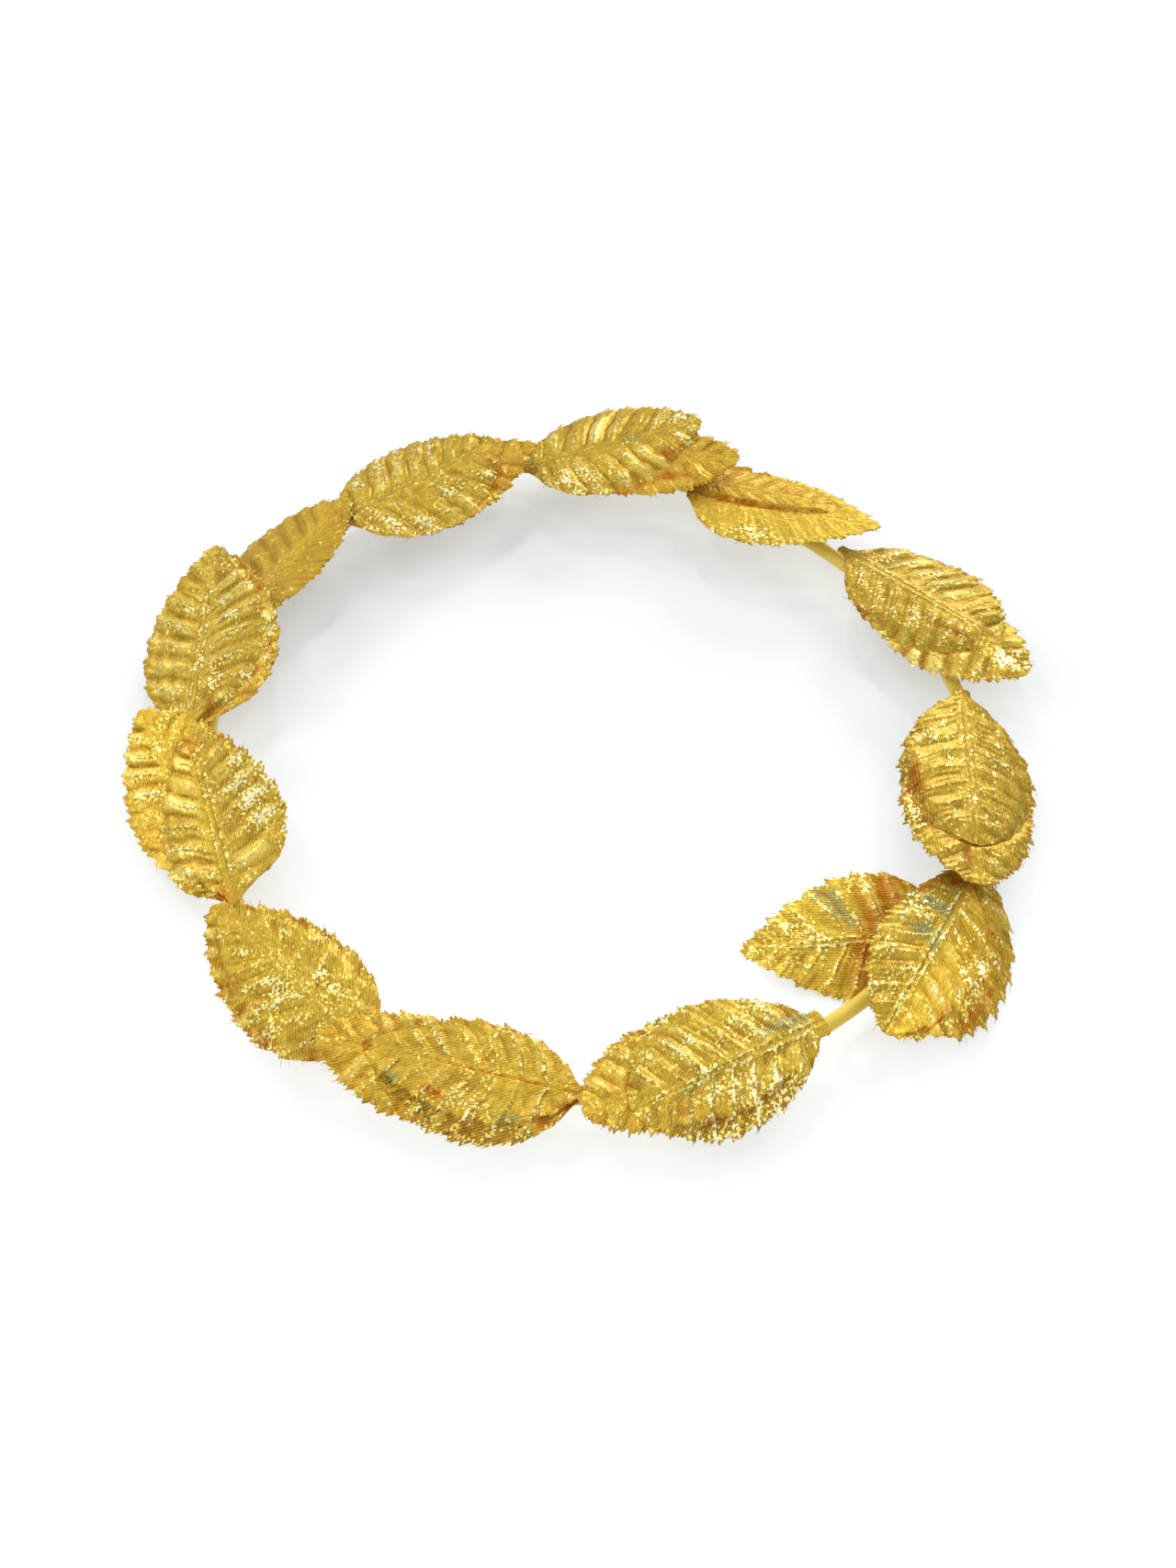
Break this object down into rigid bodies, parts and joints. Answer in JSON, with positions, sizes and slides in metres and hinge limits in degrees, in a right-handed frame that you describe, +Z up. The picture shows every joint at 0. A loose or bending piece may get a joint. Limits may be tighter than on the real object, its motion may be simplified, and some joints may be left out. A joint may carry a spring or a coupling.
{
  "type": "laurel wreath crown",
  "caption": "Round head wreath: a closed wire hoop carrying overlapping pairs of veined, toothed metallic cloth leaves that all point one way round.",
  "frame": {"origin": "middle of the wreath's footprint on the surface that it lies on", "axes": "+Z up through the head opening of the lying wreath; -Y towards the side where the single leaf points into the ring from the front right; +X to the right of it"},
  "size_m": [0.2222, 0.2228, 0.0204],
  "materials": {
    "lame_cloth": "metallic woven gold cloth with pressed veins",
    "coated_wire": "matte pale yellow coating over steel wire"
  },
  "bodies": {
    "root": {"hoop": "coated_wire", "leaf_a_top": "lame_cloth", "leaf_a_under": "lame_cloth", "leaf_b_top": "lame_cloth", "leaf_b_under": "lame_cloth", "leaf_c_top": "lame_cloth", "leaf_c_under": "lame_cloth", "leaf_d_top": "lame_cloth", "leaf_d_under": "lame_cloth", "leaf_e_top": "lame_cloth", "leaf_e_under": "lame_cloth", "leaf_f": "lame_cloth", "leaf_g_top": "lame_cloth", "leaf_g_under": "lame_cloth", "leaf_h_top": "lame_cloth", "leaf_h_under": "lame_cloth", "leaf_i_top": "lame_cloth", "leaf_i_under": "lame_cloth", "leaf_j_top": "lame_cloth", "leaf_j_under": "lame_cloth", "leaf_k_top": "lame_cloth", "leaf_k_under": "lame_cloth", "leaf_l_top": "lame_cloth", "leaf_l_under": "lame_cloth", "leaf_m": "lame_cloth"}
  },
  "joints": []
}
